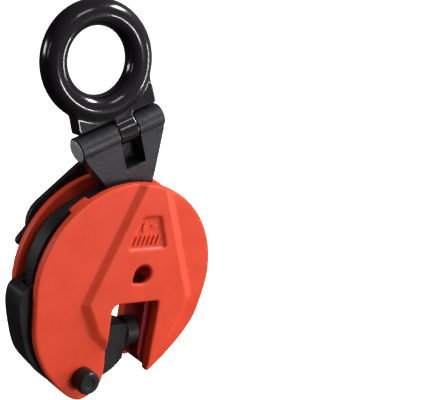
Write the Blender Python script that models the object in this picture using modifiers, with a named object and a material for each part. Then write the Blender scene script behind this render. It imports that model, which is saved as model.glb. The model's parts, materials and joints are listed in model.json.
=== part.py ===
"""Vertical plate lifting clamp with a hinged hoisting eye, a toothed cam and a swivelling jaw pad.

Metres, +Z up, front of the clamp towards -Y. The origin is the centre of the hoisting eye's ring.
The clamp's own frame has its origin at the middle of the throat (the slot's top edge), half way
between the two side plates; its sizes below are in millimetres and mm() turns them into metres.
"""

import math

import bmesh
import bpy
from mathutils import Matrix, Vector

# ---------------------------------------------------------------- driving dimensions, millimetres
LEAN = math.radians(21.7)  # the shank leans towards the cam side, against its stop
EYE_TILT = math.radians(10.3)  # the eye leans back about the hinge

PLATE_THICKNESS = 6.0
PLATE_GAP = 24.0
INNER = PLATE_GAP / 2
OUTER = INNER + PLATE_THICKNESS
PLATEAU_HEIGHT = 3.4
PLATEAU_BAND = 5.8
RECESS_DEPTH = 2.0
ACCESS_CENTRE, ACCESS_RADIUS = (-0.5, 22.4), 7.4
RELIEF_RADIUS, RELIEF_DEPTH = 11.0, 16.8  # the plate is hollowed behind the access hole
FIT = 0.3  # gap between pieces that touch

CROWN_CENTRE = (-12.5, 17.6)
CROWN_RADIUS = 73.0
SLOT_LEFT, SLOT_RIGHT, REAR_SLOT_RIGHT = -22.2, 17.5, 13.1
JAW_BLOCK_FACE = 12.3
PAD_CENTRE_Z = -30.0
PAD_RADIUS, PAD_FACE, STEM_RADIUS = 11.4, 1.8, 5.0

CAM_PIVOT = (-38.2, -54.7)
CAM_FRONT, CAM_REAR = -10.5, 6.6
CAM_BORE = 8.6
TOOTH_COUNT, TOOTH_DEPTH = 18, 1.4
CAM_FIRST, CAM_LAST = -12.0, 41.0  # toothed arc, degrees above the pivot's horizontal
CAM_BASE, CAM_RISE = 32.0, 0.70  # radius at zero degrees, and growth in mm a degree
CAM_GAP = 0.4  # from the toothed face to the pad when the jaw is shut
CAM_FLAT_AT, CAM_CROWNING = 30.0, 0.0015  # where the face stands proudest, and its fall-off
PIN_RADIUS, THREAD_RADIUS = 7.0, 6.0
HEAD_RADIUS, HEAD_HEIGHT = 8.7, 11.6  # the cam pin's round head
NUT_HEIGHT, WASHER_THICKNESS = 10.0, 2.0

LINK_ARM, LINK_ARM_ANGLE = 21.3, 152.0  # link pin on the cam, from the pivot
LINK_FRONT, LINK_REAR, LINK_HALF_WIDTH = -5.6, 2.6, 9.0
LINK_THICK_REAR, LINK_STEP = 6.2, 20.8  # the link is thicker above the cam's tail
LINK_PIN_RADIUS, LINK_END_RADIUS = 4.0, 7.4
LINK_PLAY = 2.6  # sideways run of the link pin in its slotted hole
WINDOW_ROUND = 9.6  # round of the cam's window about the link pin

HINGE = (-25.7, 122.9)  # hinge axis over the throat
HINGE_RADIUS, HINGE_HALF = 9.4, 33.4
HINGE_PIN_RADIUS = 6.0
KNUCKLE_HALF, KNUCKLE_OFFSET = 7.8, 4.9
KNUCKLE_PLAY = 0.4  # on each side, in the shank's slot
SHANK_REACH = 48.0  # hinge axis to shank pin
SHANK_HALF = 8.5
FORK_END_RADIUS, FORK_GAP_HALF, FORK_TOP = 13.0, 4.6, -32.0  # about and below the hinge axis
PIN_HEAD_RADIUS, PIN_HEAD_REACH = 8.2, 1.4  # hinge pin's head and ring, past the knuckles
GUIDE_TRAVEL = 20.0
GUIDE_DEPTH = 15.0  # half the distance between the two grooves' floors
SHANK_PIN_HALF = 14.4
ROLLER_RADIUS = 8.0

RING_RADIUS, RING_SECTION = 33.2, 9.5
EYE_REACH = 54.2  # hinge axis to ring centre
NECK_HALF, NECK_THICKNESS, NECK_FOOT = 33.5, 5.8, 10.4

LOCK = (-56.0, 52.0)
LEVER_TIP = (-31.0, 89.0)
LEVER_ROUND, LEVER_TIP_ROUND = 19.0, 8.0
LEVER_FRONT, LEVER_BACK = 21.9, 26.4
CRANK_THROW, CRANK_ANGLE = 14.0, 45.0
SPRING_POST = (-3.8, 21.7)  # from the cam pivot
SPRING_LAYER = 9.0
SPRING_COIL = 1.9

# ------------------------------------------------------------------------------------ small tools


def mm(value):
    return value / 1000


def on_circle(centre, radius, degrees):
    angle = math.radians(degrees)
    return (centre[0] + radius * math.cos(angle), centre[1] + radius * math.sin(angle))


def arc(centre, radius, start, end, steps):
    """Points from start to end degrees, both ends included."""
    return [on_circle(centre, radius, start + (end - start) * i / steps) for i in range(steps + 1)]


def smooth(points, steps):
    """A Catmull-Rom curve through the points, ends included."""
    padded = [points[0]] + list(points) + [points[-1]]
    found = []
    for i in range(len(points) - 1):
        a, b, c, d = (Vector(padded[i + k]) for k in range(4))
        for step in range(steps):
            t = step / steps
            found.append(
                tuple(
                    0.5
                    * (
                        2 * b
                        + (c - a) * t
                        + (2 * a - 5 * b + 4 * c - d) * t**2
                        + (3 * b - a - 3 * c + d) * t**3
                    )
                )
            )
    return found + [tuple(points[-1])]


def beside(path, offsets):
    """The path moved sideways by an offset for each point, to its left for a positive one."""
    moved = []
    for i, (point, offset) in enumerate(zip(path, offsets)):
        before, after = Vector(path[max(i - 1, 0)]), Vector(path[min(i + 1, len(path) - 1)])
        along = (after - before).normalized()
        moved.append((point[0] - along.y * offset, point[1] + along.x * offset))
    return moved


def rounded(points, radius, steps=4):
    """A closed outline with each corner cut to a quadratic round of about the radius."""
    found = []
    for i, point in enumerate(points):
        corner = Vector(point)
        before, after = Vector(points[i - 1]), Vector(points[(i + 1) % len(points)])
        start = corner + (before - corner).normalized() * min(radius, (before - corner).length / 2.1)
        end = corner + (after - corner).normalized() * min(radius, (after - corner).length / 2.1)
        for step in range(steps + 1):
            t = step / steps
            found.append(tuple(start * (1 - t) ** 2 + corner * 2 * t * (1 - t) + end * t**2))
    return found


def hull_of_two(first, first_radius, second, second_radius, steps=14):
    """The outline of two circles and their outer tangents."""
    run = Vector(second) - Vector(first)
    heading = math.degrees(math.atan2(run.y, run.x))
    side = math.degrees(math.acos((first_radius - second_radius) / run.length))
    return arc(first, first_radius, heading + side, heading + 360 - side, steps) + arc(
        second, second_radius, heading - side, heading + side, steps
    )


def clear_scene():
    for obj in list(bpy.data.objects):
        bpy.data.objects.remove(obj, do_unlink=True)


def new_collection(name, parent=None):
    collection = bpy.data.collections.new(name)
    (parent or bpy.context.scene.collection).children.link(collection)
    return collection


def new_material(name, colour, roughness, metallic):
    material = bpy.data.materials.new(name)
    material.use_nodes = True
    shader = material.node_tree.nodes["Principled BSDF"]
    shader.inputs["Base Color"].default_value = (*colour, 1)
    shader.inputs["Roughness"].default_value = roughness
    shader.inputs["Metallic"].default_value = metallic
    return material


def empty(name, parent=None, location=(0, 0, 0), rotation=(0, 0, 0)):
    helper = bpy.data.objects.new(name, None)
    helper.location, helper.rotation_euler, helper.parent = location, rotation, parent
    parts.objects.link(helper)
    return helper


def place(mesh, name, parent, material):
    """A cutter when there is no material, a piece of the clamp when there is."""
    obj = bpy.data.objects.new(name, mesh)
    obj.parent = parent
    if material is None:
        cutters.objects.link(obj)
        obj.hide_render = True
        obj.display_type = "WIRE"
    else:
        parts.objects.link(obj)
        mesh.materials.append(material)
        mesh.shade_smooth()
        mesh.set_sharp_from_angle(angle=math.radians(30))
    return obj


def flat_mesh(name, outline, front, rear):
    """A filled outline in the XZ plane, from y = front to y = rear."""
    curve = bpy.data.curves.new(name, "CURVE")
    curve.dimensions, curve.fill_mode, curve.extrude = "2D", "BOTH", mm(rear - front) / 2
    spline = curve.splines.new("POLY")
    spline.points.add(len(outline) - 1)
    for spot, (x, z) in zip(spline.points, outline):
        spot.co = (mm(x), mm(z), 0, 1)
    spline.use_cyclic_u = True
    drawn = bpy.data.objects.new(name, curve)
    cutters.objects.link(drawn)
    graph = bpy.context.evaluated_depsgraph_get()
    mesh = bpy.data.meshes.new_from_object(drawn.evaluated_get(graph))
    bpy.data.objects.remove(drawn)
    work = bmesh.new()
    work.from_mesh(mesh)
    bmesh.ops.remove_doubles(work, verts=work.verts, dist=1e-6)
    bmesh.ops.recalc_face_normals(work, faces=work.faces)
    work.transform(UPRIGHT)
    bmesh.ops.translate(work, verts=work.verts, vec=(0, mm(front + rear) / 2, 0))
    work.to_mesh(mesh)
    work.free()
    return mesh


def flat(name, outline, front, rear, parent, material=None):
    """An outline in the XZ plane, from y = front to y = rear, both in millimetres."""
    return place(flat_mesh(name, outline, front, rear), name, parent, material)


# Exact quarter turns: a drawing's plane stood upright, and Z laid along each axis.
UPRIGHT = Matrix(((1, 0, 0, 0), (0, 0, -1, 0), (0, 1, 0, 0), (0, 0, 0, 1)))
AXIS_TURN = {
    "X": Matrix(((0, 0, 1, 0), (0, 1, 0, 0), (-1, 0, 0, 0), (0, 0, 0, 1))),
    "Y": Matrix(((1, 0, 0, 0), (0, 0, 1, 0), (0, -1, 0, 0), (0, 0, 0, 1))),
    "Z": Matrix.Identity(4),
}


def rod(name, radius, start, end, axis, centre, parent, material=None, segments=32):
    """A cylinder along an axis; centre gives the two other coordinates, in X, Y, Z order."""
    work = bmesh.new()
    bmesh.ops.create_cone(
        work, cap_ends=True, segments=segments, radius1=mm(radius), radius2=mm(radius),
        depth=mm(end - start),
    )
    spot = list(centre)
    spot.insert("XYZ".index(axis), (start + end) / 2)
    work.transform(AXIS_TURN[axis])
    bmesh.ops.translate(work, verts=work.verts, vec=[mm(v) for v in spot])
    mesh = bpy.data.meshes.new(name)
    work.to_mesh(mesh)
    work.free()
    return place(mesh, name, parent, material)


def box(name, low, high, parent, material=None):
    work = bmesh.new()
    bmesh.ops.create_cube(work, size=1)
    work.transform(Matrix.Diagonal([mm(h - l) for l, h in zip(low, high)] + [1]))
    bmesh.ops.translate(work, verts=work.verts, vec=[mm(l + h) / 2 for l, h in zip(low, high)])
    mesh = bpy.data.meshes.new(name)
    work.to_mesh(mesh)
    work.free()
    return place(mesh, name, parent, material)


def turned(name, profile, axis, centre, parent, material, segments=40):
    """A profile of (radius, height) from its top down, turned about the axis through the centre."""
    mesh = bpy.data.meshes.new(name)
    edges = [(i, i + 1) for i in range(len(profile) - 1)]
    if profile[0][0] > 0:
        edges.append((len(profile) - 1, 0))
    mesh.from_pydata([(mm(r), 0, mm(h)) for r, h in profile], edges, [])
    obj = place(mesh, name, parent, material)
    spot = list(centre)
    spot.insert("XYZ".index(axis), 0)
    obj.matrix_local = Matrix.Translation([mm(v) for v in spot]) @ AXIS_TURN[axis]
    screw = obj.modifiers.new("turn", "SCREW")
    screw.steps = screw.render_steps = segments
    screw.use_merge_vertices, screw.merge_threshold = True, 0.00002
    screw.use_smooth_shade = True
    return obj


def hexagon(name, across_flats, start, end, hole, centre, parent, material):
    outline = [on_circle(centre, across_flats / math.sqrt(3), 60 * i + 12) for i in range(6)]
    nut = flat(name, outline, start, end, parent, material)
    cut(nut, rod(name + "_hole", hole, start - 1, end + 1, "Y", centre, parent))
    return nut


def washer(name, inner, outer, start, end, centre, parent, material, axis="Y"):
    profile = [(inner, end), (outer, end), (outer, start), (inner, start)]
    return turned(name, profile, axis, centre, parent, material)


def combine(obj, other, operation):
    step = obj.modifiers.new(operation.lower() + " " + other.name, "BOOLEAN")
    step.operation, step.object, step.solver = operation, other, "EXACT"
    return obj


def cut(obj, *others):
    for other in others:
        combine(obj, other, "DIFFERENCE")
    return obj


def join(obj, *others):
    for other in others:
        combine(obj, other, "UNION")
    return obj


# ---------------------------------------------------------------------------------- side plates


def plate_outline(slot_right):
    """The plate's rim and its jaw slot, anticlockwise from the right flank's top."""
    crown = arc(CROWN_CENTRE, CROWN_RADIUS, -12, 190, 40)
    left_flank = smooth([crown[-1], (-81.0, -22.5), (-70.6, -45.0), (-56.0, -62.0)], 5)
    foot = smooth([(-56.0, -62.0), (-46.0, -69.6), (-37.5, -72.6), (-29.0, -70.0),
                   (-22.8, -64.5), (-19.8, -56.5), (-19.8, -44.0)], 4)
    slot = [(SLOT_LEFT + 0.5, -28.0)] + arc((SLOT_LEFT + 6, -5.2), 6, 180, 90, 6)
    slot += arc((slot_right - 2.5, -1.7), 2.5, 90, 0, 4)
    right_flank = smooth([(slot_right - 0.9, -45.0), (18.4, -56.8), (26.0, -52.0), (42.5, -34.6),
                          (54.0, -16.8), crown[0]], 5)
    return crown + left_flank[1:-1] + foot + slot + right_flank[:-1]


def plateau_outline():
    """The raised A-shaped panel; it runs past the rim and across the slot."""
    return [(9.5, 100.0), (-9.5, 100.0), (-48.0, 2.0), (-34.5, -25.0), (-14.0, -42.0),
            (14.0, -64.0), (35.8, -31.5), (48.0, 1.0)]


def mitred(points, inset):
    """The convex anticlockwise outline moved in by the same distance on every side."""
    found = []
    for i, point in enumerate(points):
        corner, before, after = (Vector(points[k % len(points)]) for k in (i, i - 1, i + 1))
        first, second = (corner - before).normalized(), (after - corner).normalized()
        inward = Vector((-first.y - second.y, first.x + second.x)).normalized()
        found.append(tuple(corner + inward * inset / max(0.2, inward.dot((-first.y, first.x)))))
    return found


def plateau_form(name, side):
    """Everything outside the low face except the panel: what is cut away round it."""
    low_ring, top_ring = plateau_outline(), mitred(plateau_outline(), PLATEAU_BAND)
    rings = ((OUTER - 1.0, low_ring), (OUTER, low_ring), (OUTER + PLATEAU_HEIGHT, top_ring))
    work = bmesh.new()
    grown = [[work.verts.new((mm(x), mm(side * y), mm(z))) for x, z in ring] for y, ring in rings]
    for near, far in zip(grown, grown[1:]):
        for i in range(len(near)):
            work.faces.new((near[i - 1], near[i], far[i], far[i - 1]))
    work.faces.new(grown[0])
    work.faces.new(grown[-1])
    bmesh.ops.recalc_face_normals(work, faces=work.faces)
    mesh = bpy.data.meshes.new(name + "_panel")
    work.to_mesh(mesh)
    work.free()
    panel = place(mesh, name + "_panel", clamp, None)
    low, high = sorted((side * OUTER, side * (OUTER + 12.0)))
    form = box(name + "_form", (-130, low, -130), (130, high, 130), clamp)
    return cut(form, panel)


def access_hole_outline():
    """A round hole drawn out to one blunt corner, low on the cam side."""
    return arc(ACCESS_CENTRE, ACCESS_RADIUS, -96, 158, 20) + [(-8.5, 20.4), (-8.6, 17.6), (-7.2, 15.7)]


def side_plate(name, side, slot_right, material):
    """side is -1 for the front plate and +1 for the rear one."""

    def between(first, second):
        return sorted((side * first, side * second))

    face = OUTER + PLATEAU_HEIGHT
    plate = flat(name, plate_outline(slot_right), *between(INNER, face + 1.0), clamp, material)
    cut(plate, plateau_form(name, side))
    cut(plate, flat(name + "_access", access_hole_outline(), *between(INNER - 2, 40), clamp))
    cut(plate, rod(name + "_relief", RELIEF_RADIUS, *between(INNER - 2, RELIEF_DEPTH), "Y",
                   ACCESS_CENTRE, clamp))
    recess = rounded([(-7.6, 66.2), (7.6, 66.2), (16.2, 41.8), (-16.2, 41.8)], 1.8, 3)
    cut(plate, flat(name + "_recess", recess, *between(face - RECESS_DEPTH, 40), clamp))
    groove = hull_of_two(PIN_TOP, ROLLER_RADIUS + FIT, PIN_LOW, ROLLER_RADIUS + FIT - 0.001, 10)
    cut(plate, flat(name + "_groove", groove, *between(INNER - 2, GUIDE_DEPTH), clamp))
    cut(plate, rod(name + "_pin_bore", PIN_RADIUS + FIT, *between(INNER - 2, 40), "Y", CAM_PIVOT,
                   clamp))
    return plate


def make_body():
    side_plate("front_plate", -1, SLOT_RIGHT, orange)
    rear = side_plate("rear_plate", 1, REAR_SLOT_RIGHT, orange)
    cut(rear, rod("lock_bore", 5.3, INNER - 2, 40, "Y", LOCK, clamp))
    block = [(JAW_BLOCK_FACE, 13.0), (JAW_BLOCK_FACE, -45.0), (18.0, -54.0), (25.5, -50.5),
             (41.0, -34.4), (52.2, -16.6), (55.5, 0.0), (44.0, 9.0), (30.0, 13.0)]
    jaw = flat("jaw_block", rounded(block, 2.0, 2), -INNER + FIT, INNER - FIT, clamp, orange)
    cut(jaw, rod("stem_bore", STEM_RADIUS + FIT, 5, 28.5, "X", (0, PAD_CENTRE_Z), clamp))
    pin_z = PAD_CENTRE_Z + STEM_RADIUS + 0.4
    cut(jaw, rod("pad_pin_bore", 1.5, -14, 14, "Y", (21.5, pin_z), clamp, segments=16))
    rod("pad_retaining_pin", 1.2, -11.4, 11.4, "Y", (21.5, pin_z), clamp, steel, 16)
    web = arc(CROWN_CENTRE, CROWN_RADIUS - 0.8, 0, 54, 14) + arc(CROWN_CENTRE, 63.0, 54, 0, 14)
    flat("crown_web", web, -INNER + FIT, INNER - FIT, clamp, orange)
    lug = arc(CROWN_CENTRE, CROWN_RADIUS - 0.8, 121, 133, 4) + arc(CROWN_CENTRE, 62.5, 133, 121, 4)
    flat("link_guide", lug, -INNER + FIT, LINK_FRONT - 0.6, clamp, orange)


def make_cam_pin():
    """The pin runs through both plates, with its round head in front and a nut behind."""
    head = -OUTER - FIT - HEAD_HEIGHT
    nut_face = OUTER + FIT + WASHER_THICKNESS + FIT
    end = nut_face + NUT_HEIGHT + 2.6
    profile = [(0, end), (THREAD_RADIUS - 0.6, end), (THREAD_RADIUS, end - 0.6),
               (THREAD_RADIUS, OUTER - 0.6), (PIN_RADIUS, OUTER - 0.6), (PIN_RADIUS, -OUTER - FIT),
               (HEAD_RADIUS, -OUTER - FIT), (HEAD_RADIUS, head + 1.4), (HEAD_RADIUS - 1.1, head),
               (4.0, head), (3.4, head + 0.8), (0, head + 0.8)]
    turned("cam_pin", profile, "Y", CAM_PIVOT, clamp, black)
    bore = THREAD_RADIUS + FIT
    washer("cam_pin_washer", bore, 12.0, OUTER + FIT, OUTER + FIT + WASHER_THICKNESS, CAM_PIVOT,
           clamp, steel)
    hexagon("cam_pin_nut", 19.0, nut_face, nut_face + NUT_HEIGHT, bore, CAM_PIVOT, clamp, black)
    washer("cam_washer_front", PIN_RADIUS + FIT, 14.0, -INNER + FIT, CAM_FRONT - FIT, CAM_PIVOT,
           clamp, steel)
    washer("cam_collar_rear", PIN_RADIUS + FIT, 12.0, CAM_REAR + FIT, INNER - FIT, CAM_PIVOT,
           clamp, steel)


# ------------------------------------------------------------------------- cam, link and jaw pad


def cam_radius(degrees):
    """A spiral that ends in an almost flat face against the pad."""
    face = PAD_FACE - CAM_GAP - CAM_PIVOT[0] - CAM_CROWNING * (degrees - CAM_FLAT_AT) ** 2
    return min(CAM_BASE + CAM_RISE * degrees, face / math.cos(math.radians(degrees)))


def cam_outline():
    """About the pivot: the toothed spiral, the flat top, the tail that stands out, and the hub."""
    teeth = []
    step = (CAM_LAST - CAM_FIRST) / TOOTH_COUNT
    for i in range(TOOTH_COUNT):
        root, tip = CAM_FIRST + step * i, CAM_FIRST + step * (i + 0.78)
        teeth.append(on_circle((0, 0), cam_radius(root) - TOOTH_DEPTH, root))
        teeth.append(on_circle((0, 0), cam_radius(tip), tip))
    top = [(34.5, 35.2), (8.0, 34.4)]
    crook = smooth([(8.0, 34.4), (-10.0, 42.0), (-21.0, 56.0), (-27.5, 73.0)], 4)[1:]
    tail = smooth([(-33.0, 74.6), (-50.5, 69.5), (-54.4, 61.5), (-53.0, 48.0), (-46.8, 27.5),
                   (-41.5, 16.5), (-33.0, 7.0), (-24.0, -1.5)], 4)
    hub = arc((0, 0), 16.8, 205, 330, 10)
    return teeth + top + crook + tail + hub


def link_window():
    """Where the link swings inside the cam, about the pivot."""
    x, z = on_circle((0, 0), LINK_ARM, LINK_ARM_ANGLE)
    pocket = arc((x, z), WINDOW_ROUND, 185, 325, 8)
    return pocket + [(16.0, 46.0), (16.0, 85.0), (-48.2, 85.0), (-47.6, 58.0), (-43.4, 36.0),
                     (-35.5, 18.0)]


def make_cam():
    cam = flat("cam", cam_outline(), CAM_FRONT, -CAM_FRONT, cam_axis, black)
    thin = [(-26.0, -40.0), (-28.5, 40.0), (-29.0, 90.0), (90.0, 90.0), (90.0, -40.0)]
    cut(cam, flat("cam_thin_area", thin, CAM_REAR, 20, cam_axis))
    cut(cam, flat("link_window", link_window(), LINK_FRONT - 0.5, LINK_REAR + 0.5, cam_axis))
    link_pin = on_circle((0, 0), LINK_ARM, LINK_ARM_ANGLE)
    cut(cam, rod("cam_bore", CAM_BORE, -20, 20, "Y", (0, 0), cam_axis))
    cut(cam, rod("link_pin_bore", LINK_PIN_RADIUS + 0.15, -20, 20, "Y", link_pin, cam_axis))
    cut(cam, rod("post_bore", 2.2, 3.5, 20, "Y", SPRING_POST, cam_axis, segments=16))
    washer("cam_bush", PIN_RADIUS + FIT, CAM_BORE - FIT, CAM_FRONT, CAM_REAR, (0, 0), cam_axis,
           bronze)
    rod("link_pin", LINK_PIN_RADIUS, CAM_FRONT + 0.2, CAM_REAR - 0.2, "Y", link_pin, cam_axis, steel)
    post = [(0, 11.2), (2.8, 11.2), (2.8, 10.6), (1.9, 10.6), (1.9, 4.0), (0, 4.0)]
    turned("spring_post", post, "Y", SPRING_POST, cam_axis, steel, 20)


def make_link():
    """The C-shaped link from the cam's pin up to the shank's pin."""
    low = (CAM_PIVOT[0] + LINK_ARM * math.cos(math.radians(LINK_ARM_ANGLE)),
           CAM_PIVOT[1] + LINK_ARM * math.sin(math.radians(LINK_ARM_ANGLE)))
    path = smooth([low, (-68.0, -22.0), (-73.5, 4.0), (-72.8, 30.0), (-64.5, 51.0), (-51.0, 63.5),
                   (-30.0, 72.0), PIN_TOP], 5)
    widths = [min(LINK_HALF_WIDTH, LINK_END_RADIUS + 0.2 * i) for i in range(len(path))]
    outline = beside(path, widths)[1:-1] + arc(PIN_TOP, 10.0, 100, -75, 10)
    low_end = (low[0] - LINK_PLAY / 2, low[1])
    outline += list(reversed(beside(path, [-w for w in widths])))[1:-1]
    outline += arc(low_end, LINK_END_RADIUS, 10, -160, 10)
    link = flat("link", outline, LINK_FRONT, LINK_THICK_REAR, clamp, black)
    cut(link, box("link_thin_tail", (-100, LINK_REAR, -90), (0, 20, LINK_STEP), clamp))
    cut(link, rod("link_thin_top", 23.5, LINK_REAR, 20, "Y", PIN_TOP, clamp))
    cut(link, rod("link_thin_end", 23.5, LINK_FRONT - 3, -4.2, "Y", PIN_TOP, clamp))
    slot = hull_of_two(low, LINK_PIN_RADIUS + FIT, (low[0] - LINK_PLAY, low[1]),
                       LINK_PIN_RADIUS + FIT - 0.001, 12)
    cut(link, flat("link_low_slot", slot, -20, 20, clamp))
    cut(link, rod("link_high_bore", HINGE_PIN_RADIUS + FIT, -20, 20, "Y", PIN_TOP, clamp))


def make_pad():
    """A round jaw pad on a grooved stem that turns in the jaw block."""
    profile = [(0, 27.0), (3.6, 27.0), (STEM_RADIUS, 25.6), (STEM_RADIUS, 23.0), (4.0, 23.0),
               (4.0, 20.0), (STEM_RADIUS, 20.0), (STEM_RADIUS, JAW_BLOCK_FACE - FIT),
               (PAD_RADIUS, JAW_BLOCK_FACE - FIT), (PAD_RADIUS, PAD_FACE + 1.2),
               (PAD_RADIUS - 1.2, PAD_FACE), (0, PAD_FACE)]
    turned("swivel_pad", profile, "X", (0, PAD_CENTRE_Z), clamp, black)


# ------------------------------------------------------------------------------- lock and spring


def make_lock():
    crank_pin = on_circle((0, 0), CRANK_THROW, CRANK_ANGLE)
    shaft = [(0, LEVER_BACK + 7.4), (4.3, LEVER_BACK + 7.4), (4.9, LEVER_BACK + 6.8), (4.9, 11.9),
             (0, 11.9)]
    turned("lock_shaft", shaft, "Y", (0, 0), lock_axis, steel, 28)
    crank = flat("lock_crank", hull_of_two((0, 0), 7.6, crank_pin, 4.6, 10), 9.4, 11.6, lock_axis,
                 black)
    cut(crank, rod("crank_bore", 2.0, 5, 15, "Y", crank_pin, lock_axis, segments=16))
    pin = [(0, 11.5), (1.7, 11.5), (1.7, 7.3), (2.6, 7.3), (2.6, 6.9), (0, 6.9)]
    turned("crank_pin", pin, "Y", crank_pin, lock_axis, steel, 20)
    washer("lever_washer", 5.2, 9.5, OUTER + FIT, LEVER_FRONT - FIT, (0, 0), lock_axis, steel)
    tip = (LEVER_TIP[0] - LOCK[0], LEVER_TIP[1] - LOCK[1])
    lever = flat("lock_lever", hull_of_two((0, 0), LEVER_ROUND, tip, LEVER_TIP_ROUND), LEVER_FRONT,
                 LEVER_BACK, lock_axis, black)
    tab = hull_of_two((-10.0, -8.0), 9.0, (-21.0, -14.2), 4.2, 8)
    join(lever, flat("lever_tab", tab, LEVER_FRONT, LEVER_BACK, lock_axis))
    cut(lever, rod("lever_bore", 5.2, 15, 40, "Y", (0, 0), lock_axis))
    hexagon("lever_nut", 16.0, LEVER_BACK + FIT, LEVER_BACK + 5.6, 5.2, (0, 0), lock_axis, steel)


def spring_points():
    """Hook, close coil and hook, from the crank's pin down to the cam's post."""
    top = Vector(LOCK) + Vector(on_circle((0, 0), CRANK_THROW, CRANK_ANGLE))
    low = Vector(CAM_PIVOT) + Vector(SPRING_POST)
    run = (low - top).normalized()
    side = Vector((-run.y, run.x))
    turns, per_turn, lead, tail = 12, 9, 36.0, 12.0
    length = (low - top).length
    points = []

    def add(along, across, depth):
        spot = top + run * along + side * across
        points.append((mm(spot.x), mm(depth), mm(spot.y)))

    for degrees in range(-240, 1, 40):
        x, z = on_circle((0, 0), 2.9, degrees)
        add(z * 1.0, x, SPRING_LAYER - 0.9 if degrees > -200 else SPRING_LAYER - 0.7)
    add(lead - 3.0, 1.2, SPRING_LAYER - 0.6)
    for i in range(turns * per_turn + 1):
        angle = 2 * math.pi * i / per_turn
        along = lead + (length - lead - tail) * i / (turns * per_turn)
        add(along, SPRING_COIL * math.cos(angle), SPRING_LAYER + SPRING_COIL * math.sin(angle))
    add(length - tail + 3.0, 1.2, SPRING_LAYER - 0.6)
    for degrees in range(0, 241, 40):
        x, z = on_circle((0, 0), 2.9, degrees)
        add(length + z, x, SPRING_LAYER - 0.6)
    return points


def make_spring():
    curve = bpy.data.curves.new("tension_spring", "CURVE")
    curve.dimensions, curve.bevel_depth, curve.bevel_resolution = "3D", mm(0.5), 0
    curve.use_fill_caps = True
    spline = curve.splines.new("POLY")
    points = spring_points()
    spline.points.add(len(points) - 1)
    for spot, co in zip(spline.points, points):
        spot.co = (*co, 1)
    curve.materials.append(steel)
    spring = bpy.data.objects.new("tension_spring", curve)
    spring.parent = clamp
    parts.objects.link(spring)


# ------------------------------------------------------------------------------- shank and eye


def make_shank():
    """The shackle block: a hinge knuckle on each side, and a fork for the link below."""
    outline = [(-HINGE_HALF, 0.0), (-32.4, -7.0), (-25.4, -22.0), (-19.6, -34.5), (-15.6, -42.0)]
    outline += arc((0, -SHANK_REACH), FORK_END_RADIUS, 180, 360, 14)
    outline += [(-x, z) for x, z in reversed(outline[:5])]
    shank = flat("shank", outline, -SHANK_HALF, SHANK_HALF, shank_axis, black)
    join(shank, rod("shank_barrel", HINGE_RADIUS, -HINGE_HALF, HINGE_HALF, "X", (0, 0), shank_axis))
    left = KNUCKLE_OFFSET - KNUCKLE_HALF - KNUCKLE_PLAY
    right = KNUCKLE_OFFSET + KNUCKLE_HALF + KNUCKLE_PLAY
    through = [(left, 20.0), (left, -9.9), (right, -9.9), (right, 20.0)]
    cut(shank, flat("knuckle_slot", through, -20, 20, shank_axis))
    window = rounded([(left, 5.0), (left, -25.2), (right, -25.2), (right, 5.0)], 0.8, 2)
    cut(shank, flat("shank_window", window, -20, 4.4, shank_axis))
    fork_low, fork_high = (-40, -FORK_GAP_HALF, -80), (40, FORK_GAP_HALF, FORK_TOP)
    cut(shank, box("fork_slot", fork_low, fork_high, shank_axis))
    cut(shank, rod("hinge_bore", HINGE_PIN_RADIUS + FIT, -40, 40, "X", (0, 0), shank_axis))
    cut(shank, rod("fork_bore", HINGE_PIN_RADIUS + FIT, -20, 20, "Y", (0, -SHANK_REACH), shank_axis))
    end, head = HINGE_HALF + 2.2, -HINGE_HALF - PIN_HEAD_REACH
    profile = [(0, end), (HINGE_PIN_RADIUS - 0.8, end), (HINGE_PIN_RADIUS, end - 0.8),
               (HINGE_PIN_RADIUS, -HINGE_HALF - FIT), (PIN_HEAD_RADIUS, -HINGE_HALF - FIT),
               (PIN_HEAD_RADIUS, head + 0.6), (PIN_HEAD_RADIUS - 0.8, head), (0, head)]
    turned("hinge_pin", profile, "X", (0, 0), shank_axis, steel)
    washer("hinge_pin_ring", HINGE_PIN_RADIUS + FIT, PIN_HEAD_RADIUS, HINGE_HALF + FIT,
           HINGE_HALF + PIN_HEAD_REACH, (0, 0), shank_axis, steel, "X")


def make_shank_pin():
    """The pin through fork and link, whose two rollers run in the plates' grooves."""
    rod("shank_pin", HINGE_PIN_RADIUS, -SHANK_PIN_HALF, SHANK_PIN_HALF, "Y", PIN_TOP, clamp, steel)
    for name, side in (("guide_roller_front", -1), ("guide_roller_rear", 1)):
        start, end = sorted((side * (SHANK_HALF + FIT), side * SHANK_PIN_HALF))
        washer(name, HINGE_PIN_RADIUS + FIT, ROLLER_RADIUS, start, end, PIN_TOP, clamp, bronze)


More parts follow.
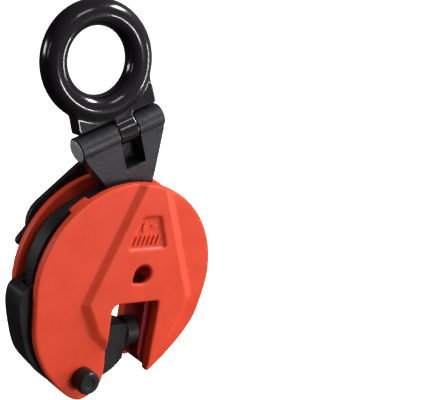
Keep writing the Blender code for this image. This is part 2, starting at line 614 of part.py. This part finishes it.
def make_eye():
    """A forged ring on a wide neck, with one knuckle between the shank's two."""
    bpy.ops.mesh.primitive_torus_add(
        major_radius=mm(RING_RADIUS), minor_radius=mm(RING_SECTION), major_segments=56,
        minor_segments=18)
    made = bpy.context.object
    mesh = made.data
    bpy.data.objects.remove(made)
    mesh.name = "hoist_eye"
    mesh.transform(Matrix.Translation((0, 0, mm(EYE_REACH))) @ UPRIGHT)
    eye = place(mesh, "hoist_eye", eye_axis, black)
    ring_centre = (0, EYE_REACH)
    low, high = KNUCKLE_OFFSET - KNUCKLE_HALF + 0.5, KNUCKLE_OFFSET + KNUCKLE_HALF - 0.5
    neck = [(-NECK_HALF, NECK_FOOT + 0.5), (low, NECK_FOOT), (low, 1.0), (high, 1.0),
            (high, NECK_FOOT), (NECK_HALF, NECK_FOOT + 0.5), (NECK_HALF + 0.6, 28.0)]
    neck += arc(ring_centre, RING_RADIUS, -22, -158, 18) + [(-NECK_HALF + 3.4, 28.0)]
    join(eye, flat("eye_neck", neck, -NECK_THICKNESS, NECK_THICKNESS, eye_axis))
    join(eye, rod("eye_knuckle", HINGE_RADIUS - 0.2, KNUCKLE_OFFSET - KNUCKLE_HALF,
                  KNUCKLE_OFFSET + KNUCKLE_HALF, "X", (0, 0), eye_axis))
    cut(eye, rod("eye_bore", HINGE_PIN_RADIUS + FIT, -40, 40, "X", (0, 0), eye_axis))


# --------------------------------------------------------------------------------- the assembly

clear_scene()
parts = new_collection("plate_lifting_clamp")
cutters = new_collection("cutters")

orange = new_material("orange_paint", (0.74, 0.082, 0.03), 0.35, 0.0)
black = new_material("black_steel", (0.02, 0.02, 0.022), 0.28, 0.4)
steel = new_material("plain_steel", (0.35, 0.35, 0.36), 0.35, 1.0)
bronze = new_material("bronze", (0.5, 0.33, 0.14), 0.4, 1.0)

eye_up = Vector((-math.sin(LEAN) * math.cos(EYE_TILT), math.sin(EYE_TILT),
                 math.cos(LEAN) * math.cos(EYE_TILT)))
hinge_spot = -mm(EYE_REACH) * eye_up
PIN_TOP = (HINGE[0] + SHANK_REACH * math.sin(LEAN), HINGE[1] - SHANK_REACH * math.cos(LEAN))
PIN_LOW = (PIN_TOP[0], PIN_TOP[1] - GUIDE_TRAVEL)

shank_axis = empty("shank_axis", None, hinge_spot, (0, -LEAN, 0))
eye_axis = empty("eye_axis", shank_axis, (0, 0, 0), (-EYE_TILT, 0, 0))
clamp = empty("clamp_frame", None, hinge_spot - Vector((mm(HINGE[0]), 0, mm(HINGE[1]))))
cam_axis = empty("cam_axis", clamp, (mm(CAM_PIVOT[0]), 0, mm(CAM_PIVOT[1])))
lock_axis = empty("lock_axis", clamp, (mm(LOCK[0]), 0, mm(LOCK[1])))
bpy.context.view_layer.update()

make_eye()
make_shank()
make_shank_pin()
make_body()
make_cam_pin()
make_cam()
make_link()
make_pad()
make_lock()
make_spring()
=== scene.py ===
"""Looks of the vertical plate lifting clamp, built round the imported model.

The clamp's own frame has its origin at the middle of the throat, the slot's top edge. The shank's
and the eye's frames have theirs on the hinge axis. Sizes in these frames are in millimetres.
"""

import json
import math

import bmesh
import bpy
import numpy as np
from mathutils import Matrix, Quaternion, Vector


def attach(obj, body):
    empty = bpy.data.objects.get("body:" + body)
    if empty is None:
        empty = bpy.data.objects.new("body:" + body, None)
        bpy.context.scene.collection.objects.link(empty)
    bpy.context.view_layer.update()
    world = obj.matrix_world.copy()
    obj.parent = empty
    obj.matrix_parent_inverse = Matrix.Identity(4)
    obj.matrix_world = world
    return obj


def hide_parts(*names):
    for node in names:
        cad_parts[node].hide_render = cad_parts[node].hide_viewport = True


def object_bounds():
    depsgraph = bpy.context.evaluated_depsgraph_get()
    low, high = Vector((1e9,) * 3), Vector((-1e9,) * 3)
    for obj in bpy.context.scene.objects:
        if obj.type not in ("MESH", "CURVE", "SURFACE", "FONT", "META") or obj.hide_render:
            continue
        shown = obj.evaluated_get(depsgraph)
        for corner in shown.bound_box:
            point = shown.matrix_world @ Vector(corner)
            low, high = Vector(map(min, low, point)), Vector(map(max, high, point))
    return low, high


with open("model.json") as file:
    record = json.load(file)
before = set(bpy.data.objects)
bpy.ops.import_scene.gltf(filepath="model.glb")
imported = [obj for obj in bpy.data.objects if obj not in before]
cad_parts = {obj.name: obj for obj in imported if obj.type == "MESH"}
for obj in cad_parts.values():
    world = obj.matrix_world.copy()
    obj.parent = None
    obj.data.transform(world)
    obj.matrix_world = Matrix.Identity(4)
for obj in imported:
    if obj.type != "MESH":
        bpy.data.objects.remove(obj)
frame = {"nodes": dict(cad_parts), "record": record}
bpy.context.scene.view_settings.view_transform = "Standard"
nodes = frame["nodes"]
cad_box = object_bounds()

# ------------------------------------------------------------------------------ driving dimensions
MM = 0.001
LEAN = math.radians(21.7)  # the shank leans towards the cam side
EYE_TILT = math.radians(10.3)  # the eye leans back about the hinge
HINGE = (-25.7, 0, 122.9)  # hinge axis in the clamp's frame
EYE_REACH = 54.2  # hinge axis to ring centre
RING_RADIUS, RING_SECTION = 33.2, 9.5
NECK_DEPTH = 5.8  # half its thickness
KNUCKLE_CENTRE, KNUCKLE_HALF, KNUCKLE_RADIUS = 4.9, 7.8, 9.2
HINGE_BORE = 6.3
JAW_BLOCK_INSIDE = 18.0  # the block's faces left of this line look into the slot and are painted in shade
MARK_FRONT, MARK_REAR = -20.5, -19.2  # the raised marks stand on the recess's floor

EYE_UP = Vector((-math.sin(LEAN) * math.cos(EYE_TILT), math.sin(EYE_TILT),
                 math.cos(LEAN) * math.cos(EYE_TILT)))
HINGE_SPOT = -EYE_REACH * MM * EYE_UP
THROAT = HINGE_SPOT - Vector(HINGE) * MM
EYE_FRAME = (Matrix.Translation(HINGE_SPOT) @ Matrix.Rotation(-LEAN, 4, "Y")
             @ Matrix.Rotation(-EYE_TILT, 4, "X"))


# -------------------------------------------------------------------------------------- materials


def shader_nodes(name):
    material = bpy.data.materials.new(name)
    material.use_nodes = True
    tree = material.node_tree
    return material, tree, tree.nodes["Principled BSDF"]


def add(tree, kind, inputs=None, **settings):
    node = tree.nodes.new(kind)
    for key, value in settings.items():
        setattr(node, key, value)
    for key, value in (inputs or {}).items():
        node.inputs[key].default_value = value
    return node


def ramp_between(tree, source, low, high, low_at, high_at):
    """A colour ramp between two colours."""
    ramp = add(tree, "ShaderNodeValToRGB")
    first, last = ramp.color_ramp.elements
    first.position, last.position = low_at, high_at
    first.color = (*low, 1)
    last.color = (*high, 1)
    tree.links.new(source, ramp.inputs["Fac"])
    return ramp.outputs["Color"]


def worn_edges(tree, body, edge):
    """The colour, with another one on the outer edges."""
    geometry = add(tree, "ShaderNodeNewGeometry")
    worn = ramp_between(tree, geometry.outputs["Pointiness"], (0, 0, 0), (1, 1, 1), 0.53, 0.62)
    mixed = add(tree, "ShaderNodeMix", data_type="RGBA")
    tree.links.new(worn, mixed.inputs["Factor"])
    tree.links.new(body, mixed.inputs["A"])
    mixed.inputs["B"].default_value = (*edge, 1)
    return mixed.outputs["Result"]


def surface(name, colour, shade, roughness, spread, grain, depth, metallic=0.0, specular=0.5,
            patch=60.0, edge=None, coat=0.0):
    """Painted or bare metal: patches from shade to colour, patchy roughness and a fine grain."""
    material, tree, shader = shader_nodes(name)
    where = add(tree, "ShaderNodeTexCoord")
    patches = add(tree, "ShaderNodeTexNoise", {"Scale": patch, "Detail": 5.0, "Roughness": 0.6})
    tree.links.new(where.outputs["Object"], patches.inputs["Vector"])
    body = ramp_between(tree, patches.outputs["Fac"], shade, colour, 0.32, 0.62)
    if edge:
        body = worn_edges(tree, body, edge)
    tree.links.new(body, shader.inputs["Base Color"])
    limits = {"From Min": 0.3, "From Max": 0.7, "To Min": roughness - spread,
              "To Max": roughness + spread}
    rough = add(tree, "ShaderNodeMapRange", limits)
    tree.links.new(patches.outputs["Fac"], rough.inputs["Value"])
    tree.links.new(rough.outputs["Result"], shader.inputs["Roughness"])
    shader.inputs["Metallic"].default_value = metallic
    shader.inputs["Specular IOR Level"].default_value = specular
    shader.inputs["Coat Weight"].default_value = coat
    shader.inputs["Coat Roughness"].default_value = 0.04
    fine = add(tree, "ShaderNodeTexNoise", {"Scale": grain, "Detail": 4.0, "Roughness": 0.55})
    tree.links.new(where.outputs["Object"], fine.inputs["Vector"])
    bump = add(tree, "ShaderNodeBump", {"Strength": 0.5, "Distance": depth})
    tree.links.new(fine.outputs["Fac"], bump.inputs["Height"])
    tree.links.new(bump.outputs["Normal"], shader.inputs["Normal"])
    return material


orange = surface(
    "orange_enamel", (0.68, 0.056, 0.021), (0.62, 0.048, 0.017), roughness=0.42, spread=0.05,
    grain=900.0, depth=0.00007, specular=0.22, edge=(0.72, 0.072, 0.028))
# Painted shade: a dark orange that stands in for the shade between the plates on the jaw block's
# faces.
orange_painted_shade = surface(
    "orange_painted_shade", (0.24, 0.018, 0.022), (0.18, 0.012, 0.016), roughness=0.5, spread=0.05,
    grain=900.0, depth=0.00007, specular=0.15)
gloss_black = surface(
    "gloss_black", (0.007, 0.005, 0.007), (0.004, 0.003, 0.004), roughness=0.2, spread=0.04,
    grain=260.0, depth=0.00012, specular=0.18, patch=35.0, coat=0.35)
forged_black = surface(
    "forged_black", (0.018, 0.016, 0.020), (0.010, 0.009, 0.012), roughness=0.33, spread=0.08,
    grain=500.0, depth=0.0006, specular=0.32, edge=(0.05, 0.05, 0.055))
satin_black = surface(
    "satin_black", (0.014, 0.013, 0.014), (0.009, 0.008, 0.009), roughness=0.42, spread=0.07,
    grain=700.0, depth=0.0001, specular=0.22, edge=(0.022, 0.020, 0.022))
worn_black = surface(
    "worn_black", (0.42, 0.42, 0.45), (0.010, 0.010, 0.012), roughness=0.40, spread=0.1,
    grain=900.0, depth=0.0002, patch=900.0, edge=(0.16, 0.16, 0.17))
dark_steel = surface(
    "oiled_steel", (0.035, 0.033, 0.035), (0.02, 0.018, 0.02), roughness=0.42, spread=0.08,
    grain=800.0, depth=0.00008, metallic=0.5, edge=(0.08, 0.078, 0.078))
bare_steel = surface(
    "turned_steel", (0.42, 0.41, 0.40), (0.30, 0.29, 0.28), roughness=0.34, spread=0.08,
    grain=1200.0, depth=0.00004, metallic=1.0, edge=(0.6, 0.6, 0.58))
bronze = surface(
    "bearing_bronze", (0.50, 0.32, 0.13), (0.36, 0.22, 0.09), roughness=0.36, spread=0.08,
    grain=900.0, depth=0.00004, metallic=1.0)
FINISH = {
    "front_plate": orange, "rear_plate": orange, "jaw_block": orange, "crown_web": orange,
    "link_guide": orange, "hoist_eye": gloss_black, "shank": forged_black, "link": satin_black,
    "cam": satin_black, "cam_pin": satin_black, "cam_pin_nut": satin_black,
    "lock_lever": satin_black, "lock_crank": dark_steel, "swivel_pad": dark_steel,
    "hinge_pin": worn_black, "hinge_pin_ring": forged_black, "shank_pin": bare_steel,
    "link_pin": dark_steel, "cam_pin_washer": bare_steel, "cam_washer_front": dark_steel,
    "cam_collar_rear": dark_steel, "lock_shaft": bare_steel, "lever_washer": bare_steel,
    "lever_nut": bare_steel, "crank_pin": dark_steel, "spring_post": dark_steel,
    "pad_retaining_pin": bare_steel, "tension_spring": bare_steel, "guide_roller_front": bronze,
    "guide_roller_rear": bronze, "cam_bush": bronze,
}

# ----------------------------------------------------------------------------------------- shapes
CAST_PIECES = {"front_plate": (0.8, 5), "rear_plate": (0.8, 5), "link_guide": (0.5, 16)}
EDGE_ROUNDS = {
    "jaw_block": 0.6, "crown_web": 0.6, "shank": 0.9, "link": 0.6, "cam": 0.1, "lock_lever": 0.7,
    "cam_pin": 0.4, "cam_pin_nut": 0.4, "lever_nut": 0.3, "swivel_pad": 0.3, "hinge_pin": 0.3,
    "guide_roller_front": 1.0, "guide_roller_rear": 1.0,
}


def body_of(node):
    for body, names in frame["record"]["behaviour"]["bodies"].items():
        if node in names:
            return body


def cleaned_mesh(node, name):
    """The node's mesh with its flat areas made single faces again."""
    work = bmesh.new()
    work.from_mesh(nodes[node].data)
    bmesh.ops.remove_doubles(work, verts=work.verts, dist=2e-6)
    bmesh.ops.dissolve_limit(work, angle_limit=math.radians(1.0), verts=work.verts,
                             edges=work.edges)
    mesh = bpy.data.meshes.new(name)
    work.to_mesh(mesh)
    work.free()
    return mesh


def stand_in(node, mesh):
    """A piece of this mesh that stands for the node and rides on its body."""
    obj = bpy.data.objects.new(mesh.name, mesh)
    bpy.context.scene.collection.objects.link(obj)
    mesh.materials.clear()
    mesh.materials.append(FINISH[node])
    mesh.shade_smooth()
    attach(obj, body_of(node))
    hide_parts(node)
    return obj


def eased(node, width):
    """The node with every sharp edge rounded."""
    obj = stand_in(node, cleaned_mesh(node, node + "_fine"))
    bevel = obj.modifiers.new("eased edges", "BEVEL")
    bevel.width, bevel.segments = width * MM, 3
    bevel.limit_method, bevel.angle_limit = "ANGLE", math.radians(28)
    even = obj.modifiers.new("even shading", "WEIGHTED_NORMAL")
    even.weight, even.mode, even.keep_sharp = 100, "FACE_AREA", False
    return obj


def cast(node, voxel, passes):
    """The node as a fine even mesh whose edges are softened like a casting's under paint."""
    obj = stand_in(node, cleaned_mesh(node, node + "_cast"))
    remesh = obj.modifiers.new("even mesh", "REMESH")
    remesh.mode, remesh.voxel_size, remesh.use_smooth_shade = "VOXEL", voxel * MM, True
    soften = obj.modifiers.new("soft edges", "SMOOTH")
    soften.factor, soften.iterations = 0.5, passes


def smooth_min(a, b, k):
    """The smaller of two distances, blended over k where they are close: a fillet."""
    h = np.clip(0.5 + 0.5 * (b - a) / k, 0, 1)
    return b * (1 - h) + a * h - k * h * (1 - h)


def smooth_max(a, b, k):
    return -smooth_min(-a, -b, k)


def eye_distance(p):
    """How far points in the eye's frame, in millimetres, are from its forged surface."""
    x, y, z = p.T
    rho = np.hypot(x, z - EYE_REACH)
    ring = np.hypot(rho - RING_RADIUS, y) - RING_SECTION
    corners = np.array([(-33.4, 10.8), (33.4, 10.8), (34.0, 28.0), (30.0, 42.0), (-29.0, 42.0),
                        (-30.2, 28.0)])
    slab = np.full(len(p), -1e3)
    for start, end in zip(corners, np.roll(corners, -1, axis=0)):
        along = (end - start) / np.linalg.norm(end - start)
        side = (x - start[0]) * along[1] - (z - start[1]) * along[0]
        slab = smooth_max(slab, side, 2.0)
    slab = np.maximum(slab, RING_RADIUS - 0.6 - rho)
    neck = smooth_max(slab, np.abs(y) - NECK_DEPTH, 2.0)
    sideways = np.abs(x - KNUCKLE_CENTRE)
    web = np.maximum(sideways - KNUCKLE_HALF + 0.5, np.abs(z - 9.0) - 7.0)
    web = smooth_max(web, np.abs(y) - NECK_DEPTH, 1.0)
    knuckle = smooth_max(np.hypot(y, z) - KNUCKLE_RADIUS, sideways - KNUCKLE_HALF, 0.9)
    body = smooth_min(ring, neck, 2.2)
    body = smooth_min(body, smooth_min(web, knuckle, 2.0), 1.5)
    return smooth_max(body, HINGE_BORE - np.hypot(y, z), 0.5)


def forged(node, frame_matrix, distance, voxel):
    """The node remeshed finely, with each point laid on the surface that distance() describes."""
    mesh = cleaned_mesh(node, node + "_rough")
    mesh.transform(frame_matrix.inverted())
    rough = bpy.data.objects.new(node + "_rough", mesh)
    bpy.context.scene.collection.objects.link(rough)
    remesh = rough.modifiers.new("remesh", "REMESH")
    remesh.mode, remesh.voxel_size = "VOXEL", voxel * MM
    graph = bpy.context.evaluated_depsgraph_get()
    fine = bpy.data.meshes.new_from_object(rough.evaluated_get(graph))
    bpy.data.objects.remove(rough)
    points = np.empty(len(fine.vertices) * 3, np.float32)
    fine.vertices.foreach_get("co", points)
    points = points.reshape(-1, 3).astype(float) / MM
    reach = 0.05
    for _ in range(6):
        slope = np.stack([(distance(points + step) - distance(points - step)) / (2 * reach)
                          for step in np.eye(3) * reach], axis=1)
        steepness = np.maximum((slope**2).sum(axis=1), 0.2)
        points -= slope * np.clip(distance(points) / steepness, -1.0, 1.0)[:, None]
    fine.vertices.foreach_set("co", (points * MM).astype(np.float32).ravel())
    fine.transform(frame_matrix)
    fine.name = node + "_forged"
    stand_in(node, fine)


def raised_mark(name, outline):
    """A low raised shape on the floor of the front plate's recess; the outline is in X and Z."""
    work = bmesh.new()
    front, rear = ([work.verts.new((x, y, z)) for x, z in outline] for y in (MARK_FRONT, MARK_REAR))
    work.faces.new(front)
    work.faces.new(list(reversed(rear)))
    for i in range(len(outline)):
        work.faces.new((front[i - 1], rear[i - 1], rear[i], front[i]))
    bmesh.ops.recalc_face_normals(work, faces=work.faces)
    work.transform(Matrix.Translation(THROAT) @ Matrix.Scale(MM, 4))
    mesh = bpy.data.meshes.new(name)
    work.to_mesh(mesh)
    work.free()
    mesh.materials.append(orange)
    mesh.shade_smooth()
    obj = bpy.data.objects.new(name, mesh)
    bpy.context.scene.collection.objects.link(obj)
    bevel = obj.modifiers.new("eased edges", "BEVEL")
    bevel.width, bevel.segments, bevel.harden_normals = 0.25 * MM, 2, True
    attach(obj, "clamp_body")


def gauge_sign():
    """A plain sign: a ring, a dash and a row of slanted strokes."""
    circle = [(math.cos(math.radians(a)), math.sin(math.radians(a))) for a in range(0, 360, 18)]
    raised_mark("gauge_dot", [(-4.6 + 1.9 * x, 58.2 + 3.6 * z) for x, z in circle])
    raised_mark("gauge_dash", [(1.2, 58.4), (6.0, 58.4), (6.0, 59.9), (1.2, 59.9)])
    pitch, width, slant, low, high = 3.8, 1.4, 1.8, 44.8, 52.0
    for i in range(6):
        left = -12.2 + pitch * i
        raised_mark(f"gauge_stroke_{i + 1}", [(left, low), (left + width, low),
                                              (left + slant + width, high), (left + slant, high)])


def paint_shade_on_jaw_block(jaw):
    """Paints shade onto the jaw block: its faces that look into the slot, and those facing front or
    back, lie in the plates' shade and get the darker orange.
    """
    jaw.data.materials.append(orange_painted_shade)
    for face in jaw.data.polygons:
        # painted shade: these faces take the dark orange material
        if abs(face.normal.y) > 0.9 or face.center.x < THROAT.x + JAW_BLOCK_INSIDE * MM:
            face.material_index = 1


for name, finish in FINISH.items():
    nodes[name].data.materials.clear()
    nodes[name].data.materials.append(finish)
for name, (voxel, passes) in CAST_PIECES.items():
    cast(name, voxel, passes)
refined = {name: eased(name, width) for name, width in EDGE_ROUNDS.items()}
# paint shade onto the jaw block's faces inside the slot
paint_shade_on_jaw_block(refined["jaw_block"])
forged("hoist_eye", EYE_FRAME, eye_distance, 1.0)
gauge_sign()

# ------------------------------------------------------------------------------------------ floor


def make_floor():
    material, tree, shader = shader_nodes("pale_floor")
    noise = add(tree, "ShaderNodeTexNoise", {"Scale": 3.0, "Detail": 2.0})
    tint = ramp_between(tree, noise.outputs["Fac"], (0.90, 0.90, 0.90), (0.92, 0.92, 0.92), 0.3, 0.7)
    tree.links.new(tint, shader.inputs["Base Color"])
    shader.inputs["Roughness"].default_value = 0.8
    shader.inputs["Specular IOR Level"].default_value = 0.1
    shader.inputs["Emission Color"].default_value = (1, 1, 1, 1)
    shader.inputs["Emission Strength"].default_value = 0.95
    work = bmesh.new()
    bmesh.ops.create_grid(work, x_segments=1, y_segments=1, size=30)
    mesh = bpy.data.meshes.new("floor")
    work.to_mesh(mesh)
    work.free()
    mesh.materials.append(material)
    floor = bpy.data.objects.new("floor", mesh)
    floor.visible_diffuse = floor.visible_glossy = False
    floor.location = (0, 0, cad_box[0].z - 0.0004)
    bpy.context.scene.collection.objects.link(floor)


# ------------------------------------------------------------------------------------------ light


def studio_world(side, away, towards):
    """Grey all round, brighter on the side that the light comes from."""
    world = bpy.data.worlds.new("studio")
    world.use_nodes = True
    tree = world.node_tree
    where = add(tree, "ShaderNodeTexCoord")
    facing = add(tree, "ShaderNodeVectorMath", operation="DOT_PRODUCT")
    facing.inputs[1].default_value = side
    tree.links.new(where.outputs["Generated"], facing.inputs[0])
    limits = {"From Min": -0.5, "From Max": 1.0, "To Min": away, "To Max": towards}
    tone = add(tree, "ShaderNodeMapRange", limits)
    tree.links.new(facing.outputs["Value"], tone.inputs["Value"])
    tree.links.new(tone.outputs["Result"], tree.nodes["Background"].inputs["Strength"])
    tree.nodes["Background"].inputs["Color"].default_value = (1, 1, 1, 1)
    bpy.context.scene.world = world


def lamp(name, azimuth, elevation, distance, size, power, target, roll=0.0):
    """A rectangular lamp, seen from the target at an azimuth from the front and an elevation."""
    turn, rise = math.radians(azimuth), math.radians(elevation)
    way = Vector((math.sin(turn) * math.cos(rise), -math.cos(turn) * math.cos(rise),
                  math.sin(rise)))
    data = bpy.data.lights.new(name, "AREA")
    data.shape, data.energy = "RECTANGLE", power
    data.size, data.size_y = size
    obj = bpy.data.objects.new(name, data)
    obj.location = target + way * distance
    obj.rotation_mode = "QUATERNION"
    aim = (-way).to_track_quat("-Z", "Y")
    obj.rotation_quaternion = aim @ Quaternion((0, 0, 1), math.radians(roll))
    bpy.context.scene.collection.objects.link(obj)


RING = Vector((0, 0, 0))
MIDDLE = Vector((0.03, 0, -0.13))  # of the whole clamp

make_floor()
studio_world(side=Vector((0.62, -0.62, 0.48)), away=0.02, towards=0.42)
lamp("key", 66, 50, 1.1, (0.34, 0.20), 13.4, MIDDLE)
lamp("low_card", 34, -20, 1.3, (0.50, 0.30), 0.5, RING)
lamp("front_strip", 16, -6, 1.6, (0.50, 0.045), 10.0, RING, -25)
lamp("side_strip", 64, -3, 1.0, (0.05, 0.42), 4.5, RING)
lamp("left_strip", -80, 12, 1.0, (0.04, 0.34), 0.6, RING)
lamp("rim_light", -118, 12, 1.2, (0.40, 0.30), 6.0, MIDDLE)
lamp("top_card", 10, 41, 1.2, (0.3, 0.2), 2.0, RING)

# ----------------------------------------------------------------------------------------- camera
AZIMUTH, ELEVATION, ROLL = math.radians(-39.19), math.radians(17.08), math.radians(9.71)
DISTANCE, ASIDE, ABOVE = 1139.832, 57.8808, 73.5408  # from the throat's front edge to the camera
THROAT_FRONT = Vector((0, -18, 0))
LENS, SENSOR = 131.31705, 36.0

back = Vector((math.sin(AZIMUTH) * math.cos(ELEVATION), -math.cos(AZIMUTH) * math.cos(ELEVATION),
               math.sin(ELEVATION)))
right = Vector((math.cos(AZIMUTH), math.sin(AZIMUTH), 0))
up = back.cross(right)
across = math.cos(ROLL) * right + math.sin(ROLL) * up
upward = -math.sin(ROLL) * right + math.cos(ROLL) * up
offset = THROAT_FRONT + DISTANCE * back + ASIDE * across + ABOVE * upward

camera = bpy.data.objects.new("camera", bpy.data.cameras.new("camera"))
camera.data.lens, camera.data.sensor_width = LENS, SENSOR
camera.matrix_world = (Matrix.Translation(THROAT + offset * MM)
                       @ Matrix((across, upward, back)).transposed().to_4x4())
bpy.context.scene.collection.objects.link(camera)
bpy.context.scene.camera = camera
